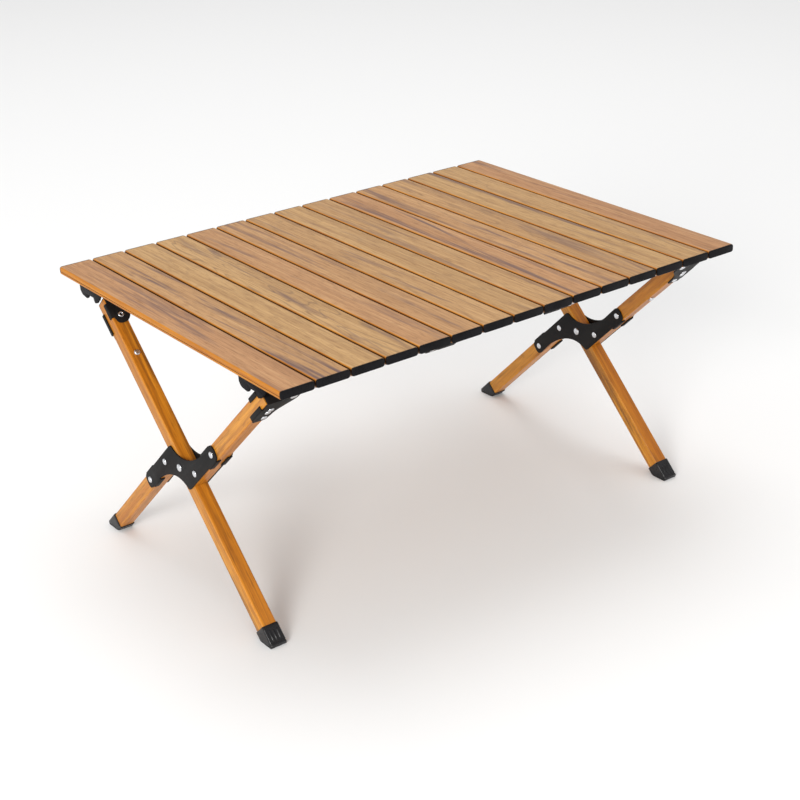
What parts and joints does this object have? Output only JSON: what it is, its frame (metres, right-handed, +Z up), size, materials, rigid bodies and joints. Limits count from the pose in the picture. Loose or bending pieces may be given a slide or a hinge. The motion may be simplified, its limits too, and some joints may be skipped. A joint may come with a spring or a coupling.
{
  "type": "folding picnic table",
  "caption": "Low folding table with a roll-up slatted top on a folding frame of two scissor leg pairs and jointed rails.",
  "frame": {"origin": "on the floor, under the middle of the tabletop", "axes": "+X along the length of the table, -Y is the front, +Z is up"},
  "size_m": [0.8976, 0.648, 0.463],
  "materials": {
    "slat_print": "wood-grain printed coating, satin",
    "leg_print": "wood-grain printed coating, satin",
    "black_steel": "black satin coating",
    "black_plastic": "moulded, matt",
    "bare_aluminium": "extruded, satin",
    "bright_steel": "zinc plated, bright"
  },
  "bodies": {
    "left_fixed_frame": {"leg_upper_left": "leg_print", "leg_lower_left": "leg_print", "foot_back_left": "black_plastic", "hub_plate_outer_left": "black_steel", "hub_plate_inner_left": "black_steel", "hub_pivot_left": "bright_steel", "bracket_front_left": "black_steel", "rail_pin_front_left": "bright_steel"},
    "left_swing_leg": {"leg_swing_left": "leg_print", "leg_screw_left": "bright_steel", "foot_front_left": "black_plastic", "bracket_back_left": "black_steel", "rail_pin_back_left": "bright_steel"},
    "back_left_bar": {"rail_end_bar_back_left": "bare_aluminium"},
    "back_centre": {"rail_centre_bar_back": "bare_aluminium", "rail_knuckle_back_left": "black_steel", "rail_knuckle_back_right": "black_steel", "knuckle_pin_back_left": "bright_steel", "knuckle_pin_back_right": "bright_steel"},
    "back_right_bar": {"rail_end_bar_back_right": "bare_aluminium"},
    "front_left_bar": {"rail_end_bar_front_left": "bare_aluminium"},
    "front_centre": {"rail_centre_bar_front": "bare_aluminium", "rail_knuckle_front_left": "black_steel", "rail_knuckle_front_right": "black_steel", "knuckle_pin_front_left": "bright_steel", "knuckle_pin_front_right": "bright_steel"},
    "front_right_bar": {"rail_end_bar_front_right": "bare_aluminium"},
    "right_fixed_frame": {"leg_upper_right": "leg_print", "leg_lower_right": "leg_print", "foot_back_right": "black_plastic", "hub_plate_outer_right": "black_steel", "hub_plate_inner_right": "black_steel", "hub_pivot_right": "bright_steel", "bracket_front_right": "black_steel", "rail_pin_front_right": "bright_steel", "leg_screw_right": "bright_steel"},
    "right_swing_leg": {"leg_swing_right": "leg_print", "foot_front_right": "black_plastic", "bracket_back_right": "black_steel", "rail_pin_back_right": "bright_steel"},
    "slat_01": {"slat_01": "slat_print", "clip_front_left": "black_plastic", "clip_back_left": "black_plastic"},
    "slat_02": {"slat_02": "slat_print"},
    "slat_03": {"slat_03": "slat_print"},
    "slat_04": {"slat_04": "slat_print"},
    "slat_05": {"slat_05": "slat_print"},
    "slat_06": {"slat_06": "slat_print"},
    "slat_07": {"slat_07": "slat_print"},
    "slat_08": {"slat_08": "slat_print"},
    "slat_09": {"slat_09": "slat_print"},
    "slat_10": {"slat_10": "slat_print"},
    "slat_11": {"slat_11": "slat_print"},
    "slat_12": {"slat_12": "slat_print"},
    "slat_13": {"slat_13": "slat_print"},
    "slat_14": {"slat_14": "slat_print"},
    "slat_15": {"slat_15": "slat_print", "clip_front_right": "black_plastic", "clip_back_right": "black_plastic"}
  },
  "joints": [
    {"name": "scissor_left", "type": "hinge", "parent": "left_fixed_frame", "child": "left_swing_leg", "pos_m": [-0.4215, 0, 0.217], "axis": [1, 0, 0], "range_deg": [0, 88]},
    {"name": "back_rail_left_end", "type": "hinge", "parent": "left_swing_leg", "child": "back_left_bar", "pos_m": [-0.39, 0.219, 0.43072], "axis": [0, 0.6984, -0.7157], "range_deg": [0, 90.1]},
    {"name": "back_rail_left_knuckle", "type": "hinge", "parent": "back_left_bar", "child": "back_centre", "pos_m": [-0.14, 0.219, 0.43072], "axis": [0, -0.6984, 0.7157], "range_deg": [0, 90.1]},
    {"name": "back_rail_right_knuckle", "type": "hinge", "parent": "back_centre", "child": "back_right_bar", "pos_m": [0.14, 0.219, 0.43072], "axis": [0, -0.6984, 0.7157], "range_deg": [0, 90.1]},
    {"name": "front_rail_left_end", "type": "hinge", "parent": "left_fixed_frame", "child": "front_left_bar", "pos_m": [-0.39, -0.25766, 0.43072], "axis": [0, 0.6984, 0.7157], "range_deg": [0, 90.1]},
    {"name": "front_rail_left_knuckle", "type": "hinge", "parent": "front_left_bar", "child": "front_centre", "pos_m": [-0.14, -0.25766, 0.43072], "axis": [0, -0.6984, -0.7157], "range_deg": [0, 90.1]},
    {"name": "front_rail_right_knuckle", "type": "hinge", "parent": "front_centre", "child": "front_right_bar", "pos_m": [0.14, -0.25766, 0.43072], "axis": [0, -0.6984, -0.7157], "range_deg": [0, 90.1]},
    {"name": "front_rail_right_end", "type": "hinge", "parent": "front_right_bar", "child": "right_fixed_frame", "pos_m": [0.39, -0.25766, 0.43072], "axis": [0, 0.6984, 0.7157], "range_deg": [0, 90.1]},
    {"name": "scissor_right", "type": "hinge", "parent": "right_fixed_frame", "child": "right_swing_leg", "pos_m": [0.4215, 0, 0.217], "axis": [1, 0, 0], "range_deg": [0, 88.1]},
    {"name": "tabletop_lift", "type": "slide", "parent": "left_fixed_frame", "child": "slat_01", "axis": [0, 0, 1], "range_m": [0, 0.42]},
    {"name": "roll_01", "type": "hinge", "parent": "slat_01", "child": "slat_02", "pos_m": [-0.39, 0, 0.463], "axis": [0, -1, 0], "range_deg": [0, 27.84]},
    {"name": "roll_02", "type": "hinge", "parent": "slat_02", "child": "slat_03", "pos_m": [-0.33, 0, 0.463], "axis": [0, -1, 0], "range_deg": [0, 29.15]},
    {"name": "roll_03", "type": "hinge", "parent": "slat_03", "child": "slat_04", "pos_m": [-0.27, 0, 0.463], "axis": [0, -1, 0], "range_deg": [0, 30.58]},
    {"name": "roll_04", "type": "hinge", "parent": "slat_04", "child": "slat_05", "pos_m": [-0.21, 0, 0.463], "axis": [0, -1, 0], "range_deg": [0, 32.15]},
    {"name": "roll_05", "type": "hinge", "parent": "slat_05", "child": "slat_06", "pos_m": [-0.15, 0, 0.463], "axis": [0, -1, 0], "range_deg": [0, 33.89]},
    {"name": "roll_06", "type": "hinge", "parent": "slat_06", "child": "slat_07", "pos_m": [-0.09, 0, 0.463], "axis": [0, -1, 0], "range_deg": [0, 35.83]},
    {"name": "roll_07", "type": "hinge", "parent": "slat_07", "child": "slat_08", "pos_m": [-0.03, 0, 0.463], "axis": [0, -1, 0], "range_deg": [0, 38.01]},
    {"name": "roll_08", "type": "hinge", "parent": "slat_08", "child": "slat_09", "pos_m": [0.03, 0, 0.463], "axis": [0, -1, 0], "range_deg": [0, 40.46]},
    {"name": "roll_09", "type": "hinge", "parent": "slat_09", "child": "slat_10", "pos_m": [0.09, 0, 0.463], "axis": [0, -1, 0], "range_deg": [0, 43.26]},
    {"name": "roll_10", "type": "hinge", "parent": "slat_10", "child": "slat_11", "pos_m": [0.15, 0, 0.463], "axis": [0, -1, 0], "range_deg": [0, 46.48]},
    {"name": "roll_11", "type": "hinge", "parent": "slat_11", "child": "slat_12", "pos_m": [0.21, 0, 0.463], "axis": [0, -1, 0], "range_deg": [0, 50.21]},
    {"name": "roll_12", "type": "hinge", "parent": "slat_12", "child": "slat_13", "pos_m": [0.27, 0, 0.463], "axis": [0, -1, 0], "range_deg": [0, 54.59]},
    {"name": "roll_13", "type": "hinge", "parent": "slat_13", "child": "slat_14", "pos_m": [0.33, 0, 0.463], "axis": [0, -1, 0], "range_deg": [0, 59.81]},
    {"name": "roll_14", "type": "hinge", "parent": "slat_14", "child": "slat_15", "pos_m": [0.39, 0, 0.463], "axis": [0, -1, 0], "range_deg": [0, 66.13]}
  ],
  "couplings": [
    {"joint": "roll_02", "follows": "roll_01", "ratio": 1.0463},
    {"joint": "roll_03", "follows": "roll_01", "ratio": 1.0977},
    {"joint": "roll_04", "follows": "roll_01", "ratio": 1.1541},
    {"joint": "roll_05", "follows": "roll_01", "ratio": 1.2166},
    {"joint": "roll_06", "follows": "roll_01", "ratio": 1.2863},
    {"joint": "roll_07", "follows": "roll_01", "ratio": 1.3646},
    {"joint": "roll_08", "follows": "roll_01", "ratio": 1.4526},
    {"joint": "roll_09", "follows": "roll_01", "ratio": 1.5532},
    {"joint": "roll_10", "follows": "roll_01", "ratio": 1.6688},
    {"joint": "roll_11", "follows": "roll_01", "ratio": 1.8028},
    {"joint": "roll_12", "follows": "roll_01", "ratio": 1.9601},
    {"joint": "roll_13", "follows": "roll_01", "ratio": 2.1476},
    {"joint": "roll_14", "follows": "roll_01", "ratio": 2.3746},
    {"joint": "back_rail_left_end", "follows": "scissor_left", "ratio": 1.0227},
    {"joint": "back_rail_left_knuckle", "follows": "scissor_left", "ratio": 1.0227},
    {"joint": "back_rail_right_knuckle", "follows": "scissor_left", "ratio": 1.0227},
    {"joint": "front_rail_left_end", "follows": "scissor_left", "ratio": 1.0227},
    {"joint": "front_rail_left_knuckle", "follows": "scissor_left", "ratio": 1.0227},
    {"joint": "front_rail_right_knuckle", "follows": "scissor_left", "ratio": 1.0227},
    {"joint": "front_rail_right_end", "follows": "scissor_left", "ratio": 1.0227},
    {"joint": "scissor_right", "follows": "scissor_left", "ratio": 1},
    {"joint": "tabletop_lift", "follows": "scissor_left", "m_per_rad": 0.2734}
  ]
}
